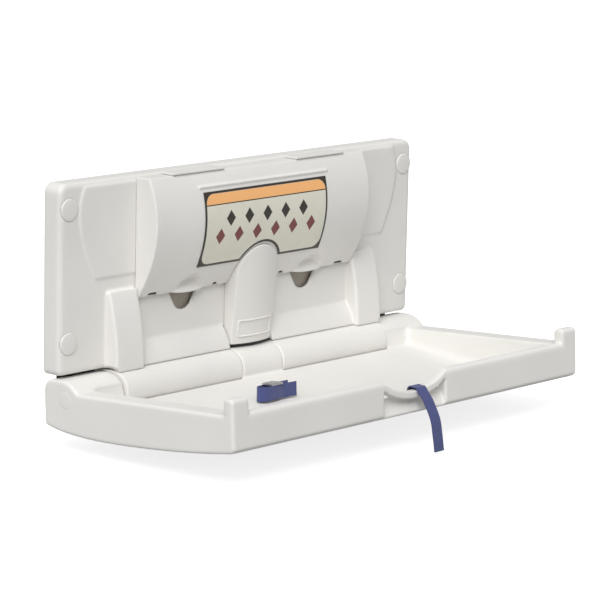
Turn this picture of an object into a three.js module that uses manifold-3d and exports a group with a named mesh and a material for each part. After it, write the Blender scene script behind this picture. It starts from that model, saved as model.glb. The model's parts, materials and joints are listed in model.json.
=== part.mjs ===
// Fold-down baby changing station for a wall, in millimetres, +Z up.
// The wall is the plane Y = 0, the front faces -Y, and the hinge axis runs along X at Z = 0.
import * as THREE from 'three';
import { mergeVertices } from 'three/addons/utils/BufferGeometryUtils.js';
import Module from 'manifold-3d';

const wasm = await Module();
wasm.setup();

// Overall sizes
const STATION_WIDTH = 890;
const HINGE_OUT = 54;
const BED_TILT = 3.6;
const FIT = 0.4;

// Back panel, a shell that is open towards the wall
const PANEL_DEPTH = 38;
const PANEL_BOTTOM = 37;
const PANEL_TOP = 359;
const PANEL_WALL = 5;
const PANEL_CORNER = 18;
const PANEL_FOOT_CORNER = 9.5;
const PANEL_EDGE = 8;
const PAD_RAISE = 2.5;
const PAD_MARGIN = 44;
const PAD_BOTTOM = 193;
const PAD_TOP = 350;
const PAD_FOOT_INSET = 37;
const PAD_HEAD_INSET = 12;
const PAD_BOW = 20;
const PAD_BOW_RISE = 105;

// Steel plate behind the panel that carries the hinge
const PLATE_THICKNESS = 3;
const PLATE_WIDTH = 600;
const PLATE_TOP = 320;
const PLATE_DROP = 40;

// Wall screws under round caps
const CAP_RADIUS = 19;
const CAP_SEAT = 3;
const CAP_PROUD = 1.5;
const BOSS_RADIUS = 22;
const SCREW_RADIUS = 3;
const SCREW_HEAD_RADIUS = 7;
const SCREW_HEAD_HEIGHT = 5;
const HEAD_SINK = 9;
const HEAD_CLEARANCE = 2;
const SCREW_INSET = 22;
const SCREW_TOP_DROP = 44;
const SCREW_BOTTOM_RISE = 53;

// Pedestal that thickens the foot of the panel above the hinge
const PEDESTAL_HALF = 338;
const PEDESTAL_FOOT = 8;
const RIB_WIDTH = 66;
const RIB_TOP = 168;
const RIB_HEAD_OUT = 8;
const RIB_FOOT_OUT = 28.5;
const RIB_SWELL_OUT = 33;
const RIB_SWELL_DROP = 78;
const RIB_EDGE = 4;
const COVE_TOP = 79;
const COVE_FOOT_OUT = 26;
const COVE_SWELL_OUT = 24;
const COVE_SWELL_DROP = 29;
const COVE_GAP = 3;
const ROOT = 2;

// Hinge barrels, hinge rod and what turns on it
const BARREL_RADIUS = 34.5;
const BARREL_OUTER_END = 333;
const NECK_DROP = 8;
const ROD_RADIUS = 6;
const ROD_INSET = 17;
const BUSH_RADIUS = 9.5;
const BUSH_LENGTH = 24;
const DAMPER_RADIUS = 16;
const DAMPER_LENGTH = 120;
const DAMPER_START = 70;

// Towel dispenser across the upper half of the panel
const DISPENSER_HALF = 271;
const DISPENSER_WALL = 3.5;
const DISPENSER_TOP = 356;
const DISPENSER_BOTTOM = 150;
const DISPENSER_OUT = 52;
const NOSE_DROP = 81;
const BROW_OUT = 32;
const BROW_BEND = 43;
const LIP_OUT = 8;
const LIP_BEND = 60;
const LIP_HEIGHT = 12;
const SLIT_WIDTH = 5;
const RIDGE_HALF = 163;
const RIDGE_DROP = 25;
const RIDGE_SIZE = 3;
const LID_INNER = 92;
const LID_OUTER = 216;
const LID_THICKNESS = 4;
const LID_OVERHANG = 3;
const LID_BACK = 4;
const FILL_SIDE_LAND = 8;
const FILL_FRONT_LAND = 14;
const FILL_BACK_LAND = 4;
const LABEL_HALF = 155;
const LABEL_DROP = 33;
const LABEL_HEIGHT = 131;
const LABEL_THICKNESS = 0.8;
const LABEL_GAP = 5;

// Finger openings in the panel under the dispenser
const FINGER_AT = 153;
const FINGER_HALF = 35;
const FINGER_TOP = 154;
const FINGER_LOW = 116;
const FINGER_KNEE = 18;
const FINGER_KNEE_RISE = 9;
const FINGER_TOE = 11;
const FINGER_FLARE = 3;

// Flared thumb scoops in the lower lip of the dispenser, measured from the lip
const THUMB_HALF = 40;
const THUMB_HEIGHT = 30;
const THUMB_DROP = 3;
const THUMB_RIM_OUT = 15;
const THUMB_BEND_OUT = -4;
const THUMB_BEND_HEIGHT = 27;
const THUMB_COLUMNS = 20;
const THUMB_ROWS = 16;
const LIP_NOTCHES = [[78, 90], [226, 248]];
const LIP_NOTCH_HEIGHT = 6;

// Cover over the middle of the hinge
const COVER_HALF = 51;
const COVER_BOTTOM = 41;
const COVER_TOP = 217;
const COVER_FOOT_OUT = 28;
const COVER_HEAD_OUT = 46;
const COVER_BULGE = 10;
const COVER_WALL = 3;
const COVER_MARGIN = 20;
const SLOT_LAND = 4;
const SLOT_DROP = 40;

// Fold-down bed, measured from the hinge axis
const BED_REACH = 382;
const BED_REAR = 52;
const RIM_HEIGHT = 13;
const RIM_WIDTH = 16;
const FRONT_RIM = 16;
const FRONT_ROUND = 10;
const RIM_STEP = 6;
const END_RIM = 50;
const END_LEAN = 7;
const END_SKIN = 5;
const BED_EDGE = 5;
const FRONT_HEIGHT = 61;
const FRONT_WALL = 6;
const LEDGE_DEPTH = 24;
const BELLY_DEPTH = 62;
const BELLY_AT = 110;
const BELLY_REAR_BEND = 110;
const BELLY_FRONT_BEND = 150;
const REAR_DEPTH = 45;
const REAR_WALL = 4;
const BLOCK_HEIGHT = 33;
const BLOCK_FOOT = 29;
const BLOCK_BEND = 10;
const BLOCK_CROWN = 9;
const BLOCK_HEEL = 30;
const BLOCK_HEEL_FOOT = 8;
const BLOCK_SINK = 20;
const BLOCK_GAP = 2;
const FLOOR_REAR_DEPTH = 15;
const FLOOR_DEEP = 46.5;
const FLOOR_DEEP_AT = 280;
const FLOOR_BEND = 80;
const FLOOR_WALL = 4;
const TRAY_CORNER = 16;
const TRAY_CORNER_STEPS = 6;
const TRAY_CORNER_TURN = 1.25;
const TRAY_TOP_SHARE = 0.02;
const TRAY_DRAFT = 2;
const TRAY_REAR_LAP = 12;
const BARREL_CLEARANCE = 2;
const KNUCKLE_HALF = 50;
const KNUCKLE_GAP = 1.5;
const SHELL_WALL = 8;
const PAN_THICKNESS = 3;

// Corner tabs and the handle notch in the front wall
const TAB_WIDTH = 40;
const TAB_DEPTH = 21.5;
const TAB_HEIGHT = 27;
const TAB_CORNER = 7.5;
const NOTCH_HALF = 80;
const NOTCH_SAG = 23;
const NOTCH_BACK = 20;
const LIP_THICKNESS = 13;
const SCOOP_DEPTH = 15;
const SCOOP_FOOT = 4;
const SCOOP_SILL = 4;
const HANDLE_BLOCK_HALF = 95;
const HANDLE_BLOCK_DEPTH = 37;

// Steel cross tube and its screws inside the bed
const TUBE_HALF = 380;
const TUBE_AT = 75;
const TUBE_WIDTH = 20;
const TUBE_HEIGHT = 24;
const TUBE_WALL = 2;
const PAN_SCREW_RADIUS = 2;
const PAN_SCREW_HEAD = 4.5;
const PAN_SCREW_HEAD_HEIGHT = 2.5;
const PAN_SCREW_LENGTH = 12;
const PAN_SCREW_AT = [-340, -120, 120, 340];

// Safety strap: its lead over the front lip, its free tail, and the half that lies in the tray.
// The lead is routed from the inner face of the front wall and then from the front face, above the lip.
const STRAP_WIDTH = 25;
const STRAP_THICKNESS = 2;
const STRAP_X = 13;
const LEAD_RISE = [[-4.2, -18], [-3.6, -4], [1, 2], [9, 1], [16, 0]];
const LEAD_FALL = [[8, -9.5], [19, -23], [33, -51]];
const TAIL_FALL = [[0.6, -2], [4, -27], [6, -54]];
const LOOP_START = -138;
const LOOP_END = -54;
const LOOP_AT = 160;
const LOOP_GAP = 20;
const LOOP_RETURN = 30;
const LOOP_SWAY = 2.5;
const LOOP_STEPS = 36;
const STRAP_STEPS = 28;
const TAIL_STEPS = 10;
const ANCHOR_WIDTH = 36;
const ANCHOR_HEIGHT = 14;
const ANCHOR_THICKNESS = 2;
const LEAD_ANCHOR_HEIGHT = 6;
const LEAD_ANCHOR_DROP = 3;
const BUCKLE_AT = -103;
const BUCKLE_WIDTH = 28;
const BUCKLE_HEIGHT = 3;
const BUCKLE_BAR = 3;
const CAM_HEIGHT = 2.5;
const CAM_GAP = 1;

// How far a cut runs past the face that it opens, and a length beyond every piece
const OVER = 1;
const FAR = 600;

const HALF = STATION_WIDTH / 2;
const ROD_HALF = HALF - ROD_INSET;
const AXIS_Y = -HINGE_OUT;
const FACE_Y = -PANEL_DEPTH;
const BARREL_INNER_END = KNUCKLE_HALF + KNUCKLE_GAP;
const BLOCK_START = BARREL_OUTER_END + BLOCK_GAP;
const TROUGH_RADIUS = BARREL_RADIUS + BARREL_CLEARANCE;
const FRONT_BOTTOM = RIM_HEIGHT - FRONT_HEIGHT;
const WALL_INNER = BED_REACH - RIM_WIDTH;
const NOSE_HEIGHT = DISPENSER_TOP - NOSE_DROP;
const LID_FRONT = BROW_OUT + LID_OVERHANG;
const SIDES = [-1, 1];

function material(color, roughness, metalness = 0) {
  return new THREE.MeshStandardMaterial({ color, roughness, metalness });
}

const WHITE_PLASTIC = material(0xe4e2dd, 0.5);
const LABEL_FILM = material(0xcbc9b4, 0.45);
const STEEL = material(0xb4b6b8, 0.35, 0.9);
const NYLON = material(0x2b2c2e, 0.55);
const WEBBING = material(0x4e5682, 0.85);

// A geometry as a solid that can be joined and cut
function solid(geometry) {
  const bare = geometry.index ? geometry.toNonIndexed() : geometry.clone();
  bare.deleteAttribute('normal');
  bare.deleteAttribute('uv');
  const merged = mergeVertices(bare, 1e-4);
  return new wasm.Manifold(new wasm.Mesh({
    numProp: 3,
    vertProperties: new Float32Array(merged.attributes.position.array),
    triVerts: new Uint32Array(merged.index.array),
  }));
}

function node(name, body, look) {
  const result = body.getMesh();
  const geometry = new THREE.BufferGeometry();
  geometry.setAttribute('position', new THREE.BufferAttribute(result.vertProperties, 3));
  geometry.setIndex(new THREE.BufferAttribute(result.triVerts, 1));
  geometry.computeVertexNormals();
  const mesh = new THREE.Mesh(geometry, look);
  mesh.name = name;
  return mesh;
}

function box(x0, x1, y0, y1, z0, z1) {
  const geometry = new THREE.BoxGeometry(x1 - x0, y1 - y0, z1 - z0);
  return solid(geometry.translate((x0 + x1) / 2, (y0 + y1) / 2, (z0 + z1) / 2));
}

function extrude(shape, start, end, edge, basis) {
  const settings = { depth: end - start - 2 * edge, bevelEnabled: edge > 0, curveSegments: 8, steps: 1 };
  Object.assign(settings, { bevelThickness: edge, bevelSize: edge, bevelOffset: -edge, bevelSegments: 3 });
  const geometry = new THREE.ExtrudeGeometry(shape, settings).translate(0, 0, start + edge);
  return solid(geometry.applyMatrix4(new THREE.Matrix4().makeBasis(...basis)));
}

// Skin over sections in Y and Z, drawn clockwise with as many points each, one at each place along X
function loft(rings) {
  const count = rings[0][1].length;
  const vertices = rings.flatMap(([x, points]) => points.flatMap(([y, z]) => [x, y, z]));
  const cap = THREE.ShapeUtils.triangulateShape(rings[0][1].map(([y, z]) => new THREE.Vector2(y, z)), []);
  const last = (rings.length - 1) * count;
  const faces = cap.flatMap(([a, b, c]) => [a, c, b, last + a, last + b, last + c]);
  for (let corner = 0; corner < last; corner++) {
    const next = corner % count === count - 1 ? corner + 1 - count : corner + 1;
    faces.push(corner, next + count, next, corner, corner + count, next + count);
  }
  const geometry = new THREE.BufferGeometry();
  geometry.setAttribute('position', new THREE.BufferAttribute(new Float32Array(vertices), 3));
  geometry.setIndex(faces);
  return solid(geometry);
}

const RIGHT = new THREE.Vector3(1, 0, 0);
const BACK = new THREE.Vector3(0, 1, 0);
const FRONT = new THREE.Vector3(0, -1, 0);
const UP = new THREE.Vector3(0, 0, 1);

// A section drawn in Y and Z, run along X
function alongX(shape, x0, x1, edge = 0) {
  return extrude(shape, x0, x1, edge, [BACK, UP, RIGHT]);
}

// A front view drawn in X and Z, run forward from y0 to y1
function forward(shape, y0, y1, edge = 0) {
  return extrude(shape, -y0, -y1, edge, [RIGHT, UP, FRONT]);
}

// A plan drawn in X and Y, run upward
function upward(shape, z0, z1) {
  return extrude(shape, z0, z1, 0, [RIGHT, BACK, UP]);
}

function outline(points) {
  return new THREE.Shape(points.map(([u, v]) => new THREE.Vector2(u, v)));
}

// A round stretch from start to end that leaves and arrives in line with the control point
function bend(start, control, end, count = 10) {
  const [a, b, c] = [start, control, end].map(([u, v]) => new THREE.Vector2(u, v));
  return new THREE.QuadraticBezierCurve(a, b, c).getPoints(count).map((p) => [p.x, p.y]);
}

// Second value of a line of points where the first one reaches a place
function valueAt(points, place) {
  const next = points.findIndex(([at]) => at >= place);
  const [a0, b0] = points[next - 1];
  const [a1, b1] = points[next];
  return b0 + (b1 - b0) * (place - a0) / (a1 - a0);
}

// Two ends of a run on one side of the middle, in rising order
function span(side, from, to) {
  return [side * from, side * to].sort((a, b) => a - b);
}

// Number of flats round a cylinder, finer on the larger ones
const SMALL_RADIUS = 12;
const SMALL_FLATS = 14;
const LARGE_RADIUS = 30;
const LARGE_FLATS = 60;
const FLATS = 36;
function flats(radius) {
  if (radius < SMALL_RADIUS) return SMALL_FLATS;
  return radius < LARGE_RADIUS ? FLATS : LARGE_FLATS;
}

function rodX(radius, x0, x1, y, z) {
  const geometry = new THREE.CylinderGeometry(radius, radius, x1 - x0, flats(radius)).rotateZ(Math.PI / 2);
  return solid(geometry.translate((x0 + x1) / 2, y, z));
}

function rodY(radius, y0, y1, x, z) {
  const geometry = new THREE.CylinderGeometry(radius, radius, Math.abs(y1 - y0), flats(radius));
  return solid(geometry.translate(x, (y0 + y1) / 2, z));
}

function rodZ(radius, z0, z1, x, y) {
  const geometry = new THREE.CylinderGeometry(radius, radius, z1 - z0, flats(radius)).rotateX(Math.PI / 2);
  return solid(geometry.translate(x, y, (z0 + z1) / 2));
}

// A flat band that follows a path drawn in two axes
function band(points, thickness, count) {
  const path = new THREE.SplineCurve(points.map(([u, v]) => new THREE.Vector2(u, v)));
  const near = [];
  const off = [];
  for (let i = 0; i <= count; i += 1) {
    const p = path.getPoint(i / count);
    const t = path.getTangent(i / count);
    near.push([p.x - t.y * thickness / 2, p.y + t.x * thickness / 2]);
    off.push([p.x + t.y * thickness / 2, p.y - t.x * thickness / 2]);
  }
  return outline([...near, ...off.reverse()]);
}

// Rectangle whose upper corners and lower corners are rounded by radii of their own
function roundedRectangle(x0, x1, z0, z1, r, foot = r) {
  const shape = new THREE.Shape();
  shape.moveTo(x0 + foot, z0);
  shape.lineTo(x1 - foot, z0);
  shape.absarc(x1 - foot, z0 + foot, foot, -Math.PI / 2, 0);
  shape.lineTo(x1, z1 - r);
  shape.absarc(x1 - r, z1 - r, r, 0, Math.PI / 2);
  shape.lineTo(x0 + r, z1);
  shape.absarc(x0 + r, z1 - r, r, Math.PI / 2, Math.PI);
  shape.lineTo(x0, z0 + foot);
  shape.absarc(x0 + foot, z0 + foot, foot, Math.PI, 1.5 * Math.PI);
  return shape;
}

const SCREW_X = HALF - SCREW_INSET;
const SCREW_TOP = PANEL_TOP - SCREW_TOP_DROP;
const SCREW_BOTTOM = PANEL_BOTTOM + SCREW_BOTTOM_RISE;
const WALL_SCREWS = [SCREW_TOP, SCREW_BOTTOM].flatMap((z) => [[-SCREW_X, z], [SCREW_X, z]]);

// Raised field beside the dispenser, with a bowed outer edge
function sidePad(side) {
  const start = DISPENSER_HALF + FIT;
  const end = HALF - PAD_MARGIN;
  const foot = [end - PAD_FOOT_INSET, PAD_BOTTOM];
  const head = [end - PAD_HEAD_INSET, PAD_TOP];
  const bow = bend(foot, [end + PAD_BOW, PAD_BOTTOM + PAD_BOW_RISE], head);
  const points = [[start, PAD_TOP], [start, PAD_BOTTOM], ...bow];
  return forward(outline(points.map(([x, z]) => [side * x, z])), FACE_Y + ROOT, FACE_Y - PAD_RAISE);
}

function rib(side) {
  const back = FACE_Y + PANEL_WALL;
  const head = [FACE_Y - RIB_HEAD_OUT, RIB_TOP];
  const swell = [FACE_Y - RIB_SWELL_OUT, RIB_TOP - RIB_SWELL_DROP];
  const front = bend(head, swell, [FACE_Y - RIB_FOOT_OUT, PEDESTAL_FOOT]);
  const shape = outline([[back, RIB_TOP], ...front, [back, PEDESTAL_FOOT]]);
  const [x0, x1] = span(side, PEDESTAL_HALF - RIB_WIDTH, PEDESTAL_HALF);
  return alongX(shape, x0, x1, RIB_EDGE);
}

function cove(side) {
  const back = FACE_Y + ROOT;
  const swell = [FACE_Y - COVE_SWELL_OUT, COVE_TOP - COVE_SWELL_DROP];
  const front = bend([back, COVE_TOP], swell, [FACE_Y - COVE_FOOT_OUT, PEDESTAL_FOOT]);
  const [x0, x1] = span(side, COVER_HALF + COVE_GAP, PEDESTAL_HALF - RIB_WIDTH + RIB_EDGE);
  return alongX(outline([...front, [back, PEDESTAL_FOOT]]), x0, x1);
}

// Front view of a finger opening, grown all round
function fingerOutline(side, grow) {
  const half = FINGER_HALF + grow;
  const low = FINGER_LOW - grow;
  const knee = [FINGER_KNEE + grow, low + FINGER_KNEE_RISE];
  const right = [[half, FINGER_TOP], ...bend(knee, [FINGER_TOE + grow, low], [0, low], 6)];
  const left = right.slice(0, -1).reverse().map(([x, z]) => [-x, z]);
  return outline([...right, ...left].map(([x, z]) => [side * FINGER_AT + x, z]));
}

// Cut for a finger opening, which widens towards the front
function fingerOpening(side) {
  const mouth = forward(fingerOutline(side, FINGER_FLARE), FACE_Y, FACE_Y - OVER);
  const neck = forward(fingerOutline(side, 0), FACE_Y + FINGER_FLARE + FIT, FACE_Y + FINGER_FLARE);
  const throat = forward(fingerOutline(side, 0), FACE_Y + PANEL_WALL + OVER, FACE_Y + FINGER_FLARE);
  return wasm.Manifold.hull([mouth, neck]).add(throat);
}

function backPanel() {
  const shape = roundedRectangle(-HALF, HALF, PANEL_BOTTOM, PANEL_TOP, PANEL_CORNER, PANEL_FOOT_CORNER);
  let body = forward(shape, 2 * PANEL_EDGE, FACE_Y, PANEL_EDGE);
  const inner = HALF - SHELL_WALL;
  const low = PANEL_BOTTOM + SHELL_WALL;
  const high = PANEL_TOP - SHELL_WALL;
  const skin = FACE_Y + PANEL_WALL;
  body = body.subtract(box(-inner, inner, skin, FAR, low, high));
  for (const side of SIDES) {
    body = body.add(sidePad(side)).add(rib(side)).add(cove(side));
    body = body.subtract(fingerOpening(side));
  }
  const room = box(-inner - OVER, inner + OVER, FACE_Y, 0, low - OVER, high + OVER);
  for (const [x, z] of WALL_SCREWS) {
    body = body.add(rodY(BOSS_RADIUS, FACE_Y + ROOT, 0, x, z).intersect(room));
    body = body.subtract(rodY(CAP_RADIUS + FIT, FACE_Y - OVER, FACE_Y + CAP_SEAT, x, z));
    body = body.subtract(rodY(SCREW_HEAD_RADIUS + HEAD_CLEARANCE, FACE_Y, FACE_Y + HEAD_SINK, x, z));
    body = body.subtract(rodY(SCREW_RADIUS + FIT, FACE_Y, OVER, x, z));
  }
  const slot = COVER_HALF - COVER_WALL - SLOT_LAND;
  const slotTop = COVER_TOP - SLOT_DROP;
  body = body.subtract(box(-slot, slot, FACE_Y - FAR, skin + OVER, PANEL_BOTTOM - OVER, slotTop));
  const plate = PLATE_WIDTH / 2 + FIT;
  body = body.subtract(box(-plate, plate, -PLATE_THICKNESS - FIT, FAR, 0, low + OVER));
  body = body.subtract(rodX(BARREL_RADIUS + FIT, -FAR, FAR, AXIS_Y, 0));
  const sweep = Math.hypot(TROUGH_RADIUS, FLOOR_REAR_DEPTH) + BARREL_CLEARANCE;
  for (const side of SIDES) {
    const [x0, x1] = span(side, BARREL_OUTER_END, FAR);
    body = body.subtract(rodX(sweep, x0, x1, AXIS_Y, 0));
  }
  body = body.subtract(box(-FAR, FAR, AXIS_Y, FAR, -FAR, PANEL_BOTTOM));
  return body.subtract(box(-FAR, FAR, 0, FAR, -FAR, FAR));
}

function wallPlate() {
  const half = PLATE_WIDTH / 2;
  return box(-half, half, -PLATE_THICKNESS, 0, -PLATE_DROP, PLATE_TOP);
}

function holeCap(x, z) {
  return rodY(CAP_RADIUS, FACE_Y - CAP_PROUD, FACE_Y + CAP_SEAT - FIT, x, z);
}

function wallScrew(x, z) {
  const seat = FACE_Y + HEAD_SINK - FIT;
  const head = rodY(SCREW_HEAD_RADIUS, seat - SCREW_HEAD_HEIGHT, seat, x, z);
  return head.add(rodY(SCREW_RADIUS, seat - OVER, 0, x, z));
}

function hingeBarrel(side) {
  const [x0, x1] = span(side, BARREL_INNER_END, BARREL_OUTER_END);
  let body = rodX(BARREL_RADIUS, x0, x1, AXIS_Y, 0);
  body = body.add(box(x0, x1, AXIS_Y, -PLATE_THICKNESS - FIT, -NECK_DROP, BARREL_RADIUS));
  body = body.subtract(rodX(ROD_RADIUS + FIT, -FAR, FAR, AXIS_Y, 0));
  const [b0, b1] = span(side, BARREL_INNER_END - OVER, DAMPER_START + DAMPER_LENGTH + OVER);
  return body.subtract(rodX(DAMPER_RADIUS + FIT, b0, b1, AXIS_Y, 0));
}

// Round sleeve on the hinge rod
function sleeve(side, start, length, radius, y) {
  const [x0, x1] = span(side, start, start + length);
  return rodX(radius, x0, x1, y, 0).subtract(rodX(ROD_RADIUS + FIT, x0 - OVER, x1 + OVER, y, 0));
}

// Front of the dispenser from its top edge down to its lower lip
function dispenserFront(inset) {
  const nose = FACE_Y - DISPENSER_OUT + inset;
  const brow = [FACE_Y - BROW_OUT + inset, DISPENSER_TOP - inset];
  const lip = [FACE_Y - LIP_OUT + inset, DISPENSER_BOTTOM + inset];
  const upper = bend(brow, [nose, NOSE_HEIGHT + BROW_BEND], [nose, NOSE_HEIGHT], 9);
  const lower = bend([nose, NOSE_HEIGHT], [nose, NOSE_HEIGHT - LIP_BEND], lip, 14);
  return [...upper, ...lower.slice(1)];
}

// Arched outline of the hinge cover, grown all round and cut off at a foot
function coverOutline(grow, foot) {
  const half = COVER_HALF + grow;
  const spring = COVER_TOP - COVER_HALF;
  const shape = new THREE.Shape();
  shape.moveTo(-half, foot);
  shape.lineTo(half, foot);
  shape.lineTo(half, spring);
  shape.absarc(0, spring, half, 0, Math.PI);
  shape.lineTo(-half, foot);
  return shape;
}

// Places of the filling opening under a lid
function fillOpening(side, gap) {
  const [x0, x1] = span(side, LID_INNER + FILL_SIDE_LAND + gap, LID_OUTER - FILL_SIDE_LAND - gap);
  return [x0, x1, FACE_Y - LID_FRONT + FILL_FRONT_LAND + gap, FACE_Y - LID_BACK - FILL_BACK_LAND - gap];
}

// Stretch of the lip with a thumb scoop: the front is drawn back under an arch and flared out at the foot
function thumbScoop(side, front, back) {
  const heights = front.map(([y, z]) => [z - DISPENSER_BOTTOM, FACE_Y - y]).reverse();
  const plain = (h) => (h > 0 ? valueAt(heights, h) : LIP_OUT);
  const head = [plain(THUMB_HEIGHT), THUMB_HEIGHT];
  const hollow = bend(head, [THUMB_BEND_OUT, THUMB_BEND_HEIGHT], [THUMB_RIM_OUT, 0], THUMB_ROWS);
  const scoop = [[THUMB_RIM_OUT, -THUMB_DROP - OVER], ...hollow.reverse()].map(([out, h]) => [h, out]);
  const geometry = new THREE.BoxGeometry(2, 1, 1, THUMB_COLUMNS, 1, THUMB_ROWS);
  const at = geometry.attributes.position;
  for (let i = 0; i < at.count; i += 1) {
    const across = at.getX(i);
    const low = -THUMB_DROP * (1 - across ** 2);
    const h = low + (THUMB_HEIGHT - low) * (at.getZ(i) + 0.5);
    const arch = 1 - Math.max(h, 0) / THUMB_HEIGHT;
    const share = arch > across ** 2 ? 1 - (across ** 2 / arch) ** 2 : 0;
    const out = share > 0 ? plain(h) + (valueAt(scoop, h) - plain(h)) * share : plain(h);
    const y = at.getY(i) < 0 ? FACE_Y - out : back;
    at.setXYZ(i, side * FINGER_AT + across * THUMB_HALF, y, DISPENSER_BOTTOM + h);
  }
  return solid(geometry);
}

function dispenserCover() {
  const back = FACE_Y - FIT;
  const slit = back - SLIT_WIDTH;
  const open = FACE_Y + OVER;
  const front = dispenserFront(0);
  const profile = outline([[back, DISPENSER_TOP], ...front, [back, DISPENSER_BOTTOM]]);
  const full = alongX(profile, -DISPENSER_HALF, DISPENSER_HALF);
  const sill = DISPENSER_BOTTOM + LIP_HEIGHT;
  const below = DISPENSER_BOTTOM - OVER;
  const ceiling = DISPENSER_TOP - DISPENSER_WALL;
  const curve = dispenserFront(DISPENSER_WALL).filter(([, z]) => z > sill);
  const hollow = outline([[open, ceiling], ...curve, [slit, sill], [slit, below], [open, below]]);
  const inner = DISPENSER_HALF - DISPENSER_WALL;
  const ridge = DISPENSER_TOP - RIDGE_DROP;
  const ridgeY = valueAt(front.map(([y, z]) => [z, y]).reverse(), ridge);
  const out = ridgeY - RIDGE_SIZE;
  let body = full.add(box(-RIDGE_HALF, RIDGE_HALF, out, ridgeY + RIDGE_SIZE, ridge, ridge + RIDGE_SIZE));
  body = body.subtract(alongX(hollow, -inner, inner));
  body = body.subtract(forward(coverOutline(FIT, COVER_BOTTOM), FACE_Y + OVER, FACE_Y - FAR));
  const below_lip = DISPENSER_BOTTOM - 2 * THUMB_DROP;
  for (const side of SIDES) {
    const [x0, x1] = [side * FINGER_AT - THUMB_HALF, side * FINGER_AT + THUMB_HALF];
    body = body.subtract(box(x0, x1, FACE_Y - FAR, slit, below_lip, DISPENSER_BOTTOM + THUMB_HEIGHT));
    body = body.add(thumbScoop(side, front, slit));
    for (const [start, end] of LIP_NOTCHES) {
      const [n0, n1] = span(side, start, end);
      body = body.subtract(box(n0, n1, FACE_Y - FAR, FACE_Y, below_lip, DISPENSER_BOTTOM + LIP_NOTCH_HEIGHT));
    }
    body = body.subtract(box(...fillOpening(side, 0), ceiling - OVER, DISPENSER_TOP + OVER));
  }
  return body;
}

// Lid over a filling opening, with a plug that drops into it
function fillLid(side) {
  const [x0, x1] = span(side, LID_INNER, LID_OUTER);
  const seat = DISPENSER_TOP + FIT;
  const lid = box(x0, x1, FACE_Y - LID_FRONT, FACE_Y - LID_BACK, seat, seat + LID_THICKNESS);
  return lid.add(box(...fillOpening(side, FIT), seat - DISPENSER_WALL, seat + OVER));
}

// Film that lies on the curved front of the dispenser
function label() {
  const outer = dispenserFront(-FIT - LABEL_THICKNESS);
  const inner = dispenserFront(-FIT).reverse();
  const strip = alongX(outline([...outer, ...inner]), -LABEL_HALF, LABEL_HALF);
  const top = DISPENSER_TOP - LABEL_DROP;
  const field = box(-LABEL_HALF, LABEL_HALF, FACE_Y - FAR, FACE_Y, top - LABEL_HEIGHT, top);
  const arch = forward(coverOutline(LABEL_GAP, COVER_BOTTOM), FACE_Y + OVER, FACE_Y - FAR);
  return strip.intersect(field).subtract(arch);
}

// Bowed front of the hinge cover as a closed solid behind a grid of points
function coverBlock(inset) {
  const reach = COVER_HALF + COVER_MARGIN;
  const low = COVER_BOTTOM - COVER_MARGIN;
  const high = COVER_TOP + COVER_MARGIN;
  const geometry = new THREE.BoxGeometry(2 * reach, 1, high - low, 12, 1, 14);
  const at = geometry.attributes.position;
  for (let i = 0; i < at.count; i += 1) {
    const x = at.getX(i);
    const z = at.getZ(i) + (low + high) / 2;
    const rise = (z - COVER_BOTTOM) / (COVER_TOP - COVER_BOTTOM);
    const lean = COVER_FOOT_OUT + (COVER_HEAD_OUT - COVER_FOOT_OUT) * rise;
    const front = FACE_Y - lean + COVER_BULGE * (x / COVER_HALF) ** 2 + inset;
    at.setXYZ(i, x, at.getY(i) < 0 ? front : FACE_Y + COVER_MARGIN, z);
  }
  return solid(geometry);
}

function centreCover() {
  const shell = coverBlock(0).intersect(forward(coverOutline(0, COVER_BOTTOM), FACE_Y - FIT, FACE_Y - FAR));
  const room = forward(coverOutline(-COVER_WALL, COVER_BOTTOM - OVER), FACE_Y + OVER, FACE_Y - FAR);
  return shell.subtract(coverBlock(COVER_WALL).intersect(room));
}

// Underside of the bed as points of distance from the hinge and height
function bedBottom(lift) {
  const rear = [-BED_REAR + OVER, -REAR_DEPTH];
  const belly = [BELLY_AT, -BELLY_DEPTH];
  const toe = [BED_REACH - FRONT_WALL, FRONT_BOTTOM];
  const back = bend(rear, [BELLY_AT - BELLY_REAR_BEND, -BELLY_DEPTH], belly);
  const front = bend(belly, [BELLY_AT + BELLY_FRONT_BEND, -BELLY_DEPTH], toe);
  return [...back, ...front.slice(1)].map(([d, z]) => [d, z + lift]);
}

// Floor of the tray as points of distance from the hinge and height
function bedFloor(drop) {
  const lip = Math.sqrt(TROUGH_RADIUS ** 2 - FLOOR_REAR_DEPTH ** 2);
  const rear = [lip - OVER, -FLOOR_REAR_DEPTH];
  const deep = [FLOOR_DEEP_AT, -FLOOR_DEEP];
  const back = bend(rear, [FLOOR_DEEP_AT - FLOOR_BEND, -FLOOR_DEEP], deep, 12);
  const front = bend(deep, [WALL_INNER, -FLOOR_DEEP], [WALL_INNER, -FLOOR_REAR_DEPTH]);
  return [...back, ...front.slice(1)].map(([d, z]) => [d, z - drop]);
}

function section(points) {
  return outline(points.map(([d, z]) => [-d, z]));
}

// Hump at each end of the bed that holds the end of the hinge rod
function hingeBlock(side) {
  const crown = [-BLOCK_CROWN, BLOCK_HEIGHT];
  const brow = bend([BLOCK_FOOT, RIM_HEIGHT], [BLOCK_BEND, BLOCK_HEIGHT], crown, 6);
  const heel = bend([-BLOCK_HEEL, BLOCK_HEIGHT], [-BED_REAR, BLOCK_HEIGHT], [-BED_REAR, BLOCK_HEEL_FOOT], 6);
  const foot = [[-BED_REAR, -BLOCK_SINK], [BLOCK_FOOT, -BLOCK_SINK]];
  const [x0, x1] = span(side, BLOCK_START, HALF);
  return alongX(section([...brow, ...heel, ...foot]), x0, x1, BED_EDGE);
}

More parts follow.
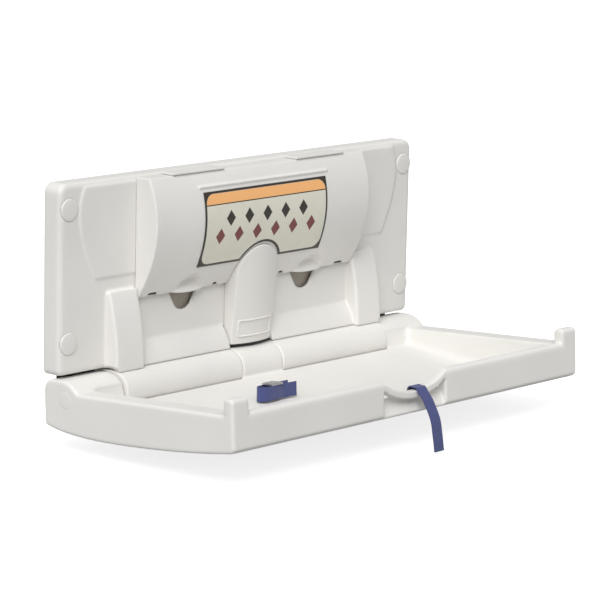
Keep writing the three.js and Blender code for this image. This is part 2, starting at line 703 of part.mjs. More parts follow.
function cornerTab(side) {
  const top = RIM_HEIGHT + TAB_HEIGHT;
  const post = roundedRectangle(-BED_REACH, -BED_REACH + TAB_DEPTH, -BLOCK_SINK, top, TAB_CORNER);
  const [x0, x1] = span(side, HALF - TAB_WIDTH, HALF);
  return alongX(post, x0, x1, BED_EDGE);
}

function bedBody() {
  const shoulder = [BED_REACH, FRONT_RIM - FRONT_ROUND];
  const crown = bend(shoulder, [BED_REACH, FRONT_RIM], [BED_REACH - FRONT_ROUND, FRONT_RIM], 4);
  const rim = [[WALL_INNER, FRONT_RIM], [WALL_INNER - RIM_STEP, RIM_HEIGHT], [0, RIM_HEIGHT]];
  const nose = [[BED_REACH, FRONT_BOTTOM + FRONT_WALL], ...crown, ...rim];
  const rear = [[-BED_REAR, 0], [-BED_REAR, -REAR_DEPTH + BED_EDGE]];
  let body = alongX(section([...bedBottom(0), ...nose, ...rear]), -HALF, HALF, BED_EDGE);
  for (const side of SIDES) {
    body = body.add(hingeBlock(side)).add(cornerTab(side));
  }
  return body;
}

// Room above the floor of the tray, which turns up at each end and leans out to the rim
function trayRoom() {
  const front = [[WALL_INNER + TRAY_DRAFT, FRONT_RIM], [WALL_INNER + TRAY_DRAFT, FAR]];
  const rear = [[TROUGH_RADIUS - TRAY_REAR_LAP, FAR], [TROUGH_RADIUS - TRAY_REAR_LAP, RIM_HEIGHT]];
  const top = RIM_HEIGHT - OVER;
  const ring = (x, lift) => {
    const floor = bedFloor(-lift).map(([d, z]) => [d, z < top ? z : top + (z - top) * TRAY_TOP_SHARE]);
    return [x, [...floor, ...front, ...rear].map(([d, z]) => [-d, z])];
  };
  const wall = HALF - END_RIM;
  const half = [];
  for (let step = 0; step <= TRAY_CORNER_STEPS; step += 1) {
    const turn = (step / TRAY_CORNER_STEPS) * TRAY_CORNER_TURN;
    half.push([wall - TRAY_CORNER * (1 - Math.sin(turn)), TRAY_CORNER * (1 - Math.cos(turn))]);
  }
  half.push([wall + END_LEAN, FRONT_HEIGHT + RIM_HEIGHT]);
  const left = half.map(([x, lift]) => ring(-x, lift)).reverse();
  return loft([...left, ...half.map(([x, lift]) => ring(x, lift))]);
}

// Room between the floor and the pan below it
function shellRoom(grow) {
  const radius = TROUGH_RADIUS + FLOOR_WALL;
  const back = -BED_REAR + REAR_WALL - grow;
  const toe = BED_REACH - FRONT_WALL + grow;
  const aside = radius * Math.SQRT1_2;
  const trough = bend([0, -radius], [radius - aside / 2, -radius], [aside, -aside], 5);
  const floor = bedFloor(FLOOR_WALL - grow).filter(([d]) => d > radius && d < WALL_INNER - TRAY_DRAFT);
  const top = [[back, -radius], ...trough, ...floor, [toe, -LEDGE_DEPTH]];
  const half = HALF - SHELL_WALL + grow;
  let room = alongX(section([...top, [toe, -FAR], [back, -FAR]]), -half, half);
  for (const side of SIDES) {
    const [x0, x1] = span(side, HALF - END_RIM + END_LEAN + END_SKIN - grow, half);
    const [y0, y1] = [-WALL_INNER + END_SKIN - grow, -radius - END_SKIN + grow];
    room = room.add(box(x0, x1, y0, y1, -FAR, RIM_HEIGHT - END_SKIN + grow));
  }
  const block = HANDLE_BLOCK_HALF - grow;
  return room.subtract(box(-block, block, -FAR, -BED_REACH + HANDLE_BLOCK_DEPTH - grow, -FAR - OVER, FAR));
}

// Round cut into the front wall from above, lowered by a drop
const NOTCH_RADIUS = (NOTCH_HALF ** 2 + NOTCH_SAG ** 2) / (2 * NOTCH_SAG);
function notchArc(drop) {
  const geometry = new THREE.CylinderGeometry(NOTCH_RADIUS, NOTCH_RADIUS, 2 * FAR, 96);
  const height = RIM_HEIGHT - NOTCH_SAG - drop + NOTCH_RADIUS;
  return solid(geometry.translate(0, -FAR - WALL_INNER + NOTCH_BACK, height));
}

function fingerScoop() {
  const inner = BED_REACH - SCOOP_DEPTH;
  const foot = BED_REACH - SCOOP_FOOT;
  const face = [[foot, FRONT_BOTTOM - OVER], [foot, FRONT_BOTTOM + SCOOP_SILL]];
  const inside = [[inner, RIM_HEIGHT - NOTCH_SAG - LIP_THICKNESS], [inner, RIM_HEIGHT]];
  const front = [[FAR, RIM_HEIGHT], [FAR, FRONT_BOTTOM - OVER]];
  const cut = alongX(section([...face, ...inside, ...front]), -NOTCH_HALF, NOTCH_HALF);
  return cut.subtract(notchArc(LIP_THICKNESS));
}

function bedTray() {
  const cut = BLOCK_START;
  let body = bedBody();
  body = body.subtract(box(-cut, cut, 0, FAR, -TROUGH_RADIUS, FAR));
  body = body.subtract(box(-cut, cut, -TROUGH_RADIUS, OVER, 0, FAR));
  body = body.subtract(trayRoom());
  for (const side of SIDES) {
    const [x0, x1] = span(side, BARREL_INNER_END, cut);
    body = body.subtract(rodX(TROUGH_RADIUS, x0, x1, 0, 0));
  }
  body = body.add(rodX(BARREL_RADIUS, -KNUCKLE_HALF, KNUCKLE_HALF, 0, 0));
  body = body.subtract(rodX(ROD_RADIUS + FIT, -ROD_HALF - OVER, ROD_HALF + OVER, 0, 0));
  for (const side of SIDES) {
    for (const start of [KNUCKLE_HALF - BUSH_LENGTH, BLOCK_START]) {
      const [x0, x1] = span(side, start - OVER, start + BUSH_LENGTH + OVER);
      body = body.subtract(rodX(BUSH_RADIUS + FIT, x0, x1, 0, 0));
    }
  }
  return body.subtract(shellRoom(0)).subtract(notchArc(0)).subtract(fingerScoop());
}

function bedPan() {
  const slab = alongX(section([...bedBottom(0), ...bedBottom(PAN_THICKNESS).reverse()]), -HALF, HALF);
  let body = slab.intersect(shellRoom(-FIT));
  for (const x of PAN_SCREW_AT) {
    body = body.subtract(rodZ(PAN_SCREW_RADIUS + FIT, -FAR, 0, x, -TUBE_AT));
  }
  return body;
}

const TUBE_EDGES = [TUBE_AT - TUBE_WIDTH / 2, TUBE_AT + TUBE_WIDTH / 2];
const TUBE_BOTTOM = FIT + Math.max(...TUBE_EDGES.map((d) => valueAt(bedBottom(PAN_THICKNESS), d)));
const HEAD_EDGES = [TUBE_AT - PAN_SCREW_HEAD, TUBE_AT + PAN_SCREW_HEAD];
const HEAD_SEAT = -FIT + Math.min(...HEAD_EDGES.map((d) => valueAt(bedBottom(0), d)));

function crossTube() {
  const y0 = -TUBE_AT - TUBE_WIDTH / 2;
  const y1 = -TUBE_AT + TUBE_WIDTH / 2;
  const top = TUBE_BOTTOM + TUBE_HEIGHT;
  const floor = TUBE_BOTTOM + TUBE_WALL;
  let body = box(-TUBE_HALF, TUBE_HALF, y0, y1, TUBE_BOTTOM, top);
  body = body.subtract(box(-FAR, FAR, y0 + TUBE_WALL, y1 - TUBE_WALL, floor, top - TUBE_WALL));
  for (const x of PAN_SCREW_AT) {
    body = body.subtract(rodZ(PAN_SCREW_RADIUS + FIT, -FAR, floor + OVER, x, -TUBE_AT));
  }
  return body;
}

function panScrew(x) {
  const head = rodZ(PAN_SCREW_HEAD, HEAD_SEAT - PAN_SCREW_HEAD_HEIGHT, HEAD_SEAT, x, -TUBE_AT);
  return head.add(rodZ(PAN_SCREW_RADIUS, HEAD_SEAT - OVER, HEAD_SEAT + PAN_SCREW_LENGTH, x, -TUBE_AT));
}

const STRAP_EDGE = STRAP_X + STRAP_WIDTH / 2;
const LIP_TOP = RIM_HEIGHT - NOTCH_SAG + NOTCH_RADIUS - Math.sqrt(NOTCH_RADIUS ** 2 - STRAP_EDGE ** 2);
const STRAP_MIDDLE = LIP_TOP + FIT + STRAP_THICKNESS / 2;
const [LEAD_REACH, LEAD_DROP] = LEAD_FALL.at(-1);

// Strap from its anchor inside the front wall, over the lip and out
function strapLead() {
  const rise = LEAD_RISE.map(([d, z]) => [-WALL_INNER - d, STRAP_MIDDLE + z]);
  const fall = LEAD_FALL.map(([d, z]) => [-BED_REACH - d, STRAP_MIDDLE + z]);
  const shape = band([...rise, ...fall], STRAP_THICKNESS, STRAP_STEPS);
  return alongX(shape, STRAP_EDGE - STRAP_WIDTH, STRAP_EDGE);
}

// Free end of the strap, which hangs from the lead
function strapTail() {
  const y = -BED_REACH - LEAD_REACH;
  const path = TAIL_FALL.map(([d, z]) => [y - d, STRAP_MIDDLE + LEAD_DROP + z]);
  return alongX(band(path, STRAP_THICKNESS, TAIL_STEPS), STRAP_EDGE - STRAP_WIDTH, STRAP_EDGE);
}

// Plate that holds the lead against the inside of the front wall
function leadAnchor() {
  const y = -WALL_INNER + FIT;
  const top = LIP_TOP - LEAD_ANCHOR_DROP;
  const half = ANCHOR_WIDTH / 2;
  return box(STRAP_X - half, STRAP_X + half, y, y + ANCHOR_THICKNESS, top - LEAD_ANCHOR_HEIGHT, top);
}

const LOOP_BACK = LOOP_AT - LOOP_GAP;
const ANCHOR_Y = -LOOP_BACK + STRAP_THICKNESS / 2 + FIT;
const LOOP_FOOT = FIT + valueAt(bedFloor(0), -ANCHOR_Y - ANCHOR_THICKNESS);
const LOOP_TOP = LOOP_FOOT + STRAP_WIDTH;

// Other half of the strap, a loop that stands on its edge on the tray floor
function strapLoop() {
  const turn = LOOP_GAP / 2;
  const front = [[LOOP_END, -LOOP_AT], [LOOP_END - LOOP_RETURN, -LOOP_AT + LOOP_SWAY], [BUCKLE_AT, -LOOP_AT]];
  const end = [[LOOP_START + turn, -LOOP_AT], [LOOP_START, -LOOP_AT + turn], [LOOP_START + turn, -LOOP_BACK]];
  const rear = [[BUCKLE_AT, -LOOP_BACK], [LOOP_END - ANCHOR_WIDTH, -LOOP_BACK], [LOOP_END, -LOOP_BACK]];
  return upward(band([...front, ...end, ...rear], STRAP_THICKNESS, LOOP_STEPS), LOOP_FOOT, LOOP_TOP);
}

function loopAnchor() {
  const x = LOOP_END - ANCHOR_WIDTH;
  const top = LOOP_FOOT + ANCHOR_HEIGHT;
  return box(x, LOOP_END, ANCHOR_Y, ANCHOR_Y + ANCHOR_THICKNESS, LOOP_FOOT, top);
}

// Buckle frame across the two runs of the loop, on their upper edges
const BUCKLE_FRONT = -LOOP_AT - STRAP_THICKNESS;
const BUCKLE_BACK = -LOOP_BACK + STRAP_THICKNESS;
const BUCKLE_TOP = LOOP_TOP + FIT + BUCKLE_HEIGHT;
const BUCKLE_LEFT = BUCKLE_AT - BUCKLE_WIDTH / 2;
const BUCKLE_RIGHT = BUCKLE_AT + BUCKLE_WIDTH / 2;

// Places inside the bars of the buckle
function insideBuckle(gap) {
  const edge = BUCKLE_BAR + gap;
  return [BUCKLE_LEFT + edge, BUCKLE_RIGHT - edge, BUCKLE_FRONT + edge, BUCKLE_BACK - edge];
}

function buckleFrame() {
  const foot = BUCKLE_TOP - BUCKLE_HEIGHT;
  const frame = box(BUCKLE_LEFT, BUCKLE_RIGHT, BUCKLE_FRONT, BUCKLE_BACK, foot, BUCKLE_TOP);
  return frame.subtract(box(...insideBuckle(0), foot - OVER, BUCKLE_TOP + OVER));
}

// Lever that turns inside the buckle frame
function buckleCam() {
  return box(...insideBuckle(CAM_GAP), BUCKLE_TOP - CAM_HEIGHT, BUCKLE_TOP);
}

const station = new THREE.Group();
station.add(node('wall_plate', wallPlate(), STEEL));
station.add(node('back_panel', backPanel(), WHITE_PLASTIC));
WALL_SCREWS.forEach(([x, z], index) => {
  station.add(node(`hole_cap_${index + 1}`, holeCap(x, z), WHITE_PLASTIC));
  station.add(node(`wall_screw_${index + 1}`, wallScrew(x, z), STEEL));
});
station.add(node('hinge_rod', rodX(ROD_RADIUS, -ROD_HALF, ROD_HALF, AXIS_Y, 0), STEEL));
station.add(node('dispenser_cover', dispenserCover(), WHITE_PLASTIC));
station.add(node('label_film', label(), LABEL_FILM));
station.add(node('centre_cover', centreCover(), WHITE_PLASTIC));

const bed = new THREE.Group();
bed.position.set(0, AXIS_Y, 0);
bed.rotation.x = -THREE.MathUtils.degToRad(BED_TILT);
station.add(bed);
bed.add(node('bed_tray', bedTray(), WHITE_PLASTIC));
bed.add(node('bed_pan', bedPan(), WHITE_PLASTIC));
bed.add(node('bed_cross_tube', crossTube(), STEEL));
PAN_SCREW_AT.forEach((x, index) => bed.add(node(`pan_screw_${index + 1}`, panScrew(x), STEEL)));
bed.add(node('strap_lead', strapLead(), WEBBING));
bed.add(node('strap_tail', strapTail(), WEBBING));
bed.add(node('strap_loop', strapLoop(), WEBBING));
bed.add(node('strap_anchor', loopAnchor(), STEEL));
bed.add(node('lead_anchor', leadAnchor(), STEEL));
bed.add(node('buckle_frame', buckleFrame(), STEEL));
bed.add(node('buckle_cam', buckleCam(), STEEL));

for (const side of SIDES) {
  const end = side < 0 ? 'left' : 'right';
  station.add(node(`hinge_barrel_${end}`, hingeBarrel(side), WHITE_PLASTIC));
  const damper = sleeve(side, DAMPER_START, DAMPER_LENGTH, DAMPER_RADIUS, AXIS_Y);
  station.add(node(`hinge_damper_${end}`, damper, NYLON));
  station.add(node(`fill_lid_${end}`, fillLid(side), WHITE_PLASTIC));
  const bush = sleeve(side, KNUCKLE_HALF - BUSH_LENGTH, BUSH_LENGTH, BUSH_RADIUS, 0);
  bed.add(node(`centre_bush_${end}`, bush, NYLON));
  bed.add(node(`end_bush_${end}`, sleeve(side, BLOCK_START, BUSH_LENGTH, BUSH_RADIUS, 0), NYLON));
}

export default station;
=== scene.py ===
"""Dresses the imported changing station: mouldings, metalwork, printed film, strap webbing and a stage."""
import json
import math

import bpy
import numpy as np
from mathutils import Matrix, Vector


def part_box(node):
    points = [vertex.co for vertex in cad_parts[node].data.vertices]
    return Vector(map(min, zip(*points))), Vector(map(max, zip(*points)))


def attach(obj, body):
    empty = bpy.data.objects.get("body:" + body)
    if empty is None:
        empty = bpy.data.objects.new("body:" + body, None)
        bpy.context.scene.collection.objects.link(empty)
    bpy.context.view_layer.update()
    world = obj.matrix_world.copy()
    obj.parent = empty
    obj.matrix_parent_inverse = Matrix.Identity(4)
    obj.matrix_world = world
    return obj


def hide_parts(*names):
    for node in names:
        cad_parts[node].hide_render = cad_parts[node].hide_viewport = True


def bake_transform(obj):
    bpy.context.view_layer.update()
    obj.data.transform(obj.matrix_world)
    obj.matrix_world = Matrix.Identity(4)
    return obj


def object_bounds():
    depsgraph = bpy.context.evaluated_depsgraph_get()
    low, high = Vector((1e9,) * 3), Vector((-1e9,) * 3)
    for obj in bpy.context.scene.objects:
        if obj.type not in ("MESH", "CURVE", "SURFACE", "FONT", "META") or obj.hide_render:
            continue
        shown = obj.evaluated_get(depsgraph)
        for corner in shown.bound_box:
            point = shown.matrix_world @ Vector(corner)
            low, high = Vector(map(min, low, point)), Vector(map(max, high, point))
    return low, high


bl_info = {
    "name": "Changing Station Dresser",
    "version": (1, 0, 0),
    "blender": (4, 5, 0),
    "location": "View3D > Sidebar > Station",
    "description": "Gives the packed changing station its finishes, its strap and its stage",
    "category": "Object",
}

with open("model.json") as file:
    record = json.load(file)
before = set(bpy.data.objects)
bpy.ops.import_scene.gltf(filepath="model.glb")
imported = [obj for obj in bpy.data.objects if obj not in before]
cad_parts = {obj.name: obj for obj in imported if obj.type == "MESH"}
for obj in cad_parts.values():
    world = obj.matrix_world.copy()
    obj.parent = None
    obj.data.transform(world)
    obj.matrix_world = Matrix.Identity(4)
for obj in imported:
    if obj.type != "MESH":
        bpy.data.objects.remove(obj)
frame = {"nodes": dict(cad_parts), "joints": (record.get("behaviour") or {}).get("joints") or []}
NODES = frame["nodes"]
CAD_BOX = [list(corner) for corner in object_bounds()]
JOINTS = {joint["name"]: joint for joint in frame["joints"]}
HINGE = Vector(JOINTS["bed_fold"]["pos_m"])
MM = 0.001
SIDES = ((-1, "left"), (1, "right"))

# Points round the edge of a band, across it and along a straight one
EDGE_STEPS = 6
FLAT_STEPS = 16
STRIP_STEPS = 12

# The open bed: the angle at which it rises towards its front, and half of its width
BED_TILT = math.radians(3.6)
BED_HALF = 445 * MM

# Faces of the bed's front wall and the height of the strap on its lip, from the hinge axis
BED_REACH = 382 * MM
WALL_INNER = 366 * MM
STRAP_MIDDLE = -6.43 * MM

# Route of the strap as distance and height: from the inner face of the wall, then from its outer face
LEAD_RISE = ((-4.2, -18), (-3.6, -4), (1, 2), (9, 1), (16, 0))
LEAD_FALL = ((7, -9.5), (17, -23), (30.5, -51), (35, -78), (38, -105))
STRAP_X = 13 * MM
STRAP_STEPS = 180

# Route of the buckle's loop as places across the bed and away from the hinge, its middle height and its lean
LOOP_ROUTE = ((-54, 160), (-84, 157.5), (-103, 160), (-128, 160), (-138, 150),
              (-128, 140), (-103, 140), (-90, 140), (-54, 140))
LOOP_HEIGHT = -19.65 * MM
LOOP_STEPS = 220
LOOP_LEAN = 1.2 * MM
LOOP_SWINGS = 3

# Bowed front of the middle cover: how far out its foot is, how much more its head, and its bow
PANEL_FACE = -38 * MM
COVER_HALF = 51 * MM
COVER_FOOT = 41 * MM
COVER_HEIGHT = 176 * MM
COVER_OUT = 28 * MM
COVER_LEAN = 18 * MM
COVER_BOW = 10 * MM

# Thickness of the black strips that paint shade into the slot and gaps
SHADE_STRIP_THICKNESS = 2.5 * MM

# Black strip in the slot under the middle cover: painted shade where the slot lies in shadow
SLOT_SHADE_HALF = 47 * MM
SLOT_SHADE_BACK = 7 * MM
SLOT_SHADE_HEIGHT = 43.5 * MM
SLOT_SHADE_WIDTH = 14 * MM
SLOT_SHADE_STEPS = 40

# Straight black strips on each side that paint shade into the gaps under the panel's feet and the slit under
# the dispenser's lip: start and end across the panel, place from the wall, middle height and width
STRIPS = {
    "foot_seal": (333.5 * MM, 419 * MM, -6 * MM, 31.5 * MM, 12 * MM),
    "slit_brush": (62 * MM, 262 * MM, -39.4 * MM, 156 * MM, 11 * MM),
}

# Paper liners behind the finger openings
LINER_AT = 153 * MM
LINER_OUT = -27 * MM
LINER_LOW = 112 * MM
LINER_HIGH = 240 * MM
LINER_WIDTH = 96 * MM
LINER_THICKNESS = 1.2 * MM
LINER_WAVE = 1.5 * MM
LINER_STEPS = 60

# Lattice cells that each moulding is recast on, rounds of smoothing and the share of faces that is kept
MOULDS = {
    "bed_tray": (1.8 * MM, 6, 0.1),
    "back_panel": (2.0 * MM, 5, 0.14),
    "dispenser_cover": (1.5 * MM, 5, 0.16),
    "centre_cover": (1.2 * MM, 4, 0.2),
    "bed_pan": (2.2 * MM, 4, 0.1),
    "hinge_barrel_left": (1.6 * MM, 10, 0.14),
    "hinge_barrel_right": (1.6 * MM, 10, 0.14),
    "fill_lid_left": (1.0 * MM, 4, 0.2),
    "fill_lid_right": (1.0 * MM, 4, 0.2),
}
STEEL_NODES = [name for name, node in NODES.items() if node.data.materials[0].name == "steel"]
NYLON_NODES = [name for name, node in NODES.items() if node.data.materials[0].name == "nylon"]
CAP_NODES = [name for name in NODES if name.startswith("hole_cap")]

# How near corners are joined, which edges are rounded, how much large faces shade, and a round of smoothing
JOIN_REACH = 0.05 * MM
SHARP_ANGLE = math.radians(38)
BEVEL_STEPS = 2
FACE_WEIGHT = 80
EASE_SHARE = 0.5

# Domed screw caps: their shoulder, the step on it, and the height and radii of the crown
CAP_SHOULDER = 1.2 * MM
CAP_STEP_IN = 0.4 * MM
CAP_STEP_DOWN = 0.5 * MM
CAP_CROWN = 0.7 * MM
CAP_RADII = np.linspace(1, 0.05, 9)

# Bosses on the ends of the bed
BOSS_PROUD = 0.7 * MM
BOSS_CROWN = 0.2 * MM
BOSS_SHOULDER = 0.8 * MM
BOSS_FOOT = 1.5 * MM
BOSS_ROOT = 2 * MM
BOSS_RADII = np.linspace(1, 0.05, 6)

# Frame on the middle cover
RIDGE_HALF_WIDTH = 40 * MM
RIDGE_HALF_HEIGHT = 14 * MM
RIDGE_CORNER = 3 * MM
RIDGE_MIDDLE = 69 * MM
RIDGE_STEPS = 12

# Field of the film on the dispenser
FILM_HALF = 155 * MM
FILM_LOW = 192 * MM
FILM_HIGH = 323 * MM
FILM_ARCH = 56 * MM
FILM_ARCH_FOOT = 166 * MM

# Softness of printed lines and motifs, half of the ruled line and the slope of a diamond's sides
LINE_SOFT = 0.3 * MM
MOTIF_SOFT = 0.4 * MM
RULE_HALF = 1.1 * MM
DIAMOND_SLOPE = 0.8

# Relief of the webbing: pitches as shares of the rib's, then the share of each weave
WARP_PITCH = 0.8
TWILL_PITCH = 1.9
RIB_SHARE = 0.55
WARP_SHARE = 0.25
TWILL_SHARE = 0.2

# Firm edge of the webbing: where it starts and ends as shares of the width, how it shows and its tone
SELVEDGE_START = 0.4
SELVEDGE_END = 0.47
SELVEDGE_SHARE = 0.45
SELVEDGE_TONE = 0.7

# Depth of the plastic's grain as a share of its size, and how far its dullness wanders
GRAIN_DEPTH = 0.12
DULLNESS = 0.08

# Shares of flecks and creases in the tone of the paper
FLECK_SHARE = 0.6
CREASE_SHARE = 0.4

# Sensor of the camera in millimetres, its reach, points along the floor, and tones of the stage
SENSOR_WIDTH = 36
CLIP_END = 50
FLOOR_STEPS = 3
BLACK = (0.0, 0.0, 0.0)
GREY = (0.5, 0.5, 0.5)
WHITE = (1.0, 1.0, 1.0)


def bed_place(x, distance, height):
    """Places on the bed, given across, away from the hinge axis and above it, turned by the bed's tilt."""
    y = HINGE.y - distance * math.cos(BED_TILT) + height * math.sin(BED_TILT)
    z = HINGE.z + distance * math.sin(BED_TILT) + height * math.cos(BED_TILT)
    return np.stack(np.broadcast_arrays(x, y, z), -1)


def spline(points, count):
    """A curve through the points: a cubic for each stretch, parallel at its ends to the points beside it."""
    p = np.asarray(points, float)
    t = np.linspace(0, len(p) - 1, count)
    i = np.minimum(t.astype(int), len(p) - 2)
    w = (t - i)[:, None]
    before, here = p[np.maximum(i - 1, 0)], p[i]
    there, after = p[i + 1], p[np.minimum(i + 2, len(p) - 1)]
    v0, v1 = (there - before) / 2, (after - here) / 2
    cubic = (2 * here - 2 * there + v0 + v1) * w ** 3
    return cubic + (-3 * here + 3 * there - 2 * v0 - v1) * w ** 2 + v0 * w + here


def lengths(points):
    """How far along a line of points each one lies."""
    steps = np.linalg.norm(np.diff(points, axis=0), axis=1)
    return np.concatenate([[0], np.cumsum(steps)])


def grid_faces(rows, columns, wrap, loop):
    """Corners of the four-sided faces of a grid, joined side to side if wrapped and end to end if looped."""
    i = np.arange(rows if loop else rows - 1)[:, None]
    j = np.arange(columns if wrap else columns - 1)[None, :]
    below, beside = (i + 1) % rows, (j + 1) % columns
    corners = [i * columns + j, i * columns + beside, below * columns + beside, below * columns + j]
    return np.stack([np.broadcast_to(c, (i.size, j.size)) for c in corners], -1).reshape(-1, 4)


def surface(name, points, wrap=False, loop=False, caps=False, measure=None):
    """A smooth mesh object on a grid of points. Its measure, if given, is kept as a UV map in metres."""
    rows, columns = points.shape[:2]
    faces = grid_faces(rows, columns, wrap, loop)
    ends = []
    if caps:
        ends = [list(range(columns))[::-1], list(range((rows - 1) * columns, rows * columns))]
    mesh = bpy.data.meshes.new(name)
    mesh.from_pydata(points.reshape(-1, 3), [], faces.tolist() + ends)
    if measure:
        across, along = measure
        i, j = np.divmod(np.arange(len(faces)), columns if wrap else columns - 1)
        u = np.stack([across[j], across[j + 1], across[j + 1], across[j]], -1)
        v = np.stack([along[i], along[i], along[i + 1], along[i + 1]], -1)
        uv = np.stack([u, v], -1).reshape(-1, 2)
        spare = np.zeros((sum(map(len, ends)), 2))
        mesh.uv_layers.new(name="Measure").data.foreach_set("uv", np.concatenate([uv, spare]).ravel())
    mesh.polygons.foreach_set("use_smooth", np.ones(len(mesh.polygons), bool))
    mesh.update()
    piece = bpy.data.objects.new(name, mesh)
    bpy.context.scene.collection.objects.link(piece)
    return piece


def section(width, thickness):
    """Thin section of a band with half-round edges, as places across it and through it."""
    turn = np.linspace(-np.pi / 2, np.pi / 2, EDGE_STEPS)
    flat = np.linspace(-1, 1, FLAT_STEPS)[1:-1]
    reach, half = (width - thickness) / 2, thickness / 2
    end = reach + np.cos(turn) * half
    u = np.concatenate([end, -flat * reach, -end, flat * reach])
    v = np.concatenate([np.sin(turn), np.ones(len(flat)), -np.sin(turn), -np.ones(len(flat))]) * half
    return u, v


def band(name, path, side, width, thickness, lean=0.0):
    """A flat band: points path + u * side + v * normal of a thin section, where v leans by a share of u."""
    tangent = np.gradient(path, axis=0)
    normal = np.cross(side, tangent)
    normal /= np.linalg.norm(normal, axis=1, keepdims=True)
    u, v = section(width, thickness)
    through = v[None, :] + np.reshape(lean, (-1, 1)) * u[None, :] / width
    points = path[:, None] + u[None, :, None] * np.asarray(side, float) + through[..., None] * normal[:, None]
    return surface(name, points, wrap=True, caps=True, measure=(np.append(u, u[0]), lengths(path)))


def lathe(name, centre, axis, profile, steps=48):
    """A turned piece: its profile of radius and height carried round an axis through the centre."""
    axis = Vector(axis).normalized()
    first = axis.orthogonal().normalized()
    second = axis.cross(first)
    turn = np.linspace(0, 2 * np.pi, steps, endpoint=False)
    round_it = np.cos(turn)[:, None] * np.array(first) + np.sin(turn)[:, None] * np.array(second)
    profile = np.asarray(profile, float)
    points = profile[:, :1, None] * round_it[None] + profile[:, 1, None, None] * np.array(axis)
    return surface(name, points + np.array(centre), wrap=True, caps=True)


def rounded_rectangle(half_width, half_height, radius, count=160, steps=10):
    """Evenly spaced points round a rectangle with round corners, each corner a quarter of a circle."""
    quarter = np.linspace(0, np.pi / 2, steps)
    corners = []
    for turn, sx, sz in ((0, 1, 1), (1, -1, 1), (2, -1, -1), (3, 1, -1)):
        angle = quarter + turn * np.pi / 2
        middle = np.array([sx * (half_width - radius), sz * (half_height - radius)])
        corners.append(middle + radius * np.stack([np.cos(angle), np.sin(angle)], -1))
    ring = np.concatenate([*corners, corners[0][:1]])
    along = lengths(ring)
    even = np.linspace(0, along[-1], count, endpoint=False)
    return np.stack([np.interp(even, along, axis) for axis in ring.T], -1)


def cover_front(x, z):
    """Where the bowed front of the middle cover lies: it leans out upwards and falls back to its sides."""
    lean = COVER_LEAN * (z - COVER_FOOT) / COVER_HEIGHT
    return PANEL_FACE - COVER_OUT - lean + COVER_BOW * (x / COVER_HALF) ** 2


class Value:
    """A shader value: Python's operators on it add Math nodes to its tree."""

    def __init__(self, shader, socket):
        self.shader = shader
        self.socket = socket

    def math(self, operation, *others):
        inputs = {str(place): value for place, value in enumerate((self, *others))}
        return self.shader.add("ShaderNodeMath", {"operation": operation}, **inputs)

    def __add__(self, other):
        return self.math("ADD", other)

    __radd__ = __add__

    def __mul__(self, other):
        return self.math("MULTIPLY", other)

    __rmul__ = __mul__

    def __sub__(self, other):
        return self.math("SUBTRACT", other)

    def __rsub__(self, other):
        return self * -1 + other

    def __truediv__(self, other):
        return self.math("DIVIDE", other)

    def __rtruediv__(self, other):
        return self.math("POWER", -1) * other

    def abs(self):
        return self.math("ABSOLUTE")

    def least(self, other):
        return self.math("MINIMUM", other)

    def most(self, other):
        return self.math("MAXIMUM", other)

    def fold(self, pitch):
        """Distance to the nearest whole multiple of a pitch."""
        return self.math("PINGPONG", pitch / 2)

    def wave(self, pitch):
        """A wave between 0 and 1 that repeats at every pitch."""
        return ((self * (2 * math.pi / pitch)).math("SINE") + 1) / 2

    def span(self, low, high):
        """Stretches 0 to 1 into low to high."""
        return self * (high - low) + low

    def rise(self, low, high):
        """0 below low, 1 above high and smooth between them."""
        settings = {"interpolation_type": "SMOOTHSTEP", "clamp": True}
        return self.shader.add("ShaderNodeMapRange", settings, **{"0": self, "1": low, "2": high})

    def onset(self, soft):
        """0 where the value is negative and 1 past a soft edge."""
        return self.rise(0.0, soft)


class Shader:
    """The nodes of a material or a world: its main node, and one method that adds every other one."""

    def __init__(self, owner, main="Principled BSDF"):
        owner.use_nodes = True
        self.owner = owner
        self.tree = owner.node_tree
        self.main = self.tree.nodes[main]

    def put(self, target, value):
        if isinstance(value, Value):
            self.tree.links.new(value.socket, target)
        else:
            target.default_value = value

    def add(self, kind, settings=None, output=0, **inputs):
        """Adds a node with its settings, fills its sockets by name or number and returns one output."""
        node = self.tree.nodes.new(kind)
        for key, value in (settings or {}).items():
            setattr(node, key, value)
        for key, value in inputs.items():
            self.put(node.inputs[int(key) if key.isdigit() else key.replace("_", " ")], value)
        return Value(self, node.outputs[output])

    def set(self, **sockets):
        """Fills sockets of the main node and returns the material or world."""
        for key, value in sockets.items():
            self.put(self.main.inputs[key.replace("_", " ")], value)
        return self.owner

    def place(self):
        return self.add("ShaderNodeTexCoord", None, "Object")

    def measure(self):
        return self.add("ShaderNodeUVMap", {"uv_map": "Measure"})

    def parts(self, vector):
        node = self.add("ShaderNodeSeparateXYZ", Vector=vector).socket.node
        return [Value(self, socket) for socket in node.outputs]

    def stretch(self, vector, scale):
        return self.add("ShaderNodeMapping", Vector=vector, Scale=scale)

    def noise(self, vector, scale, detail=2.0):
        return self.add("ShaderNodeTexNoise", None, "Fac", Vector=vector, Scale=scale, Detail=detail)

    def mix(self, factor, first, second):
        return self.add("ShaderNodeMix", {"data_type": "RGBA"}, 2, **{"0": factor, "6": first, "7": second})

    def shade(self, factor, colour, dark, light):
        """A colour that goes from a darker share of itself to a lighter one."""
        return self.mix(factor, tint(colour, dark), tint(colour, light))

    def bump(self, height, distance, strength):
        return self.add("ShaderNodeBump", Height=height, Distance=distance, Strength=strength)


def material(name):
    return Shader(bpy.data.materials.new(name))


def tint(colour, share=1.0):
    """A colour made lighter or darker by a share of itself, with full opacity."""
    return tuple(min(1.0, channel * share) for channel in colour) + (1.0,)


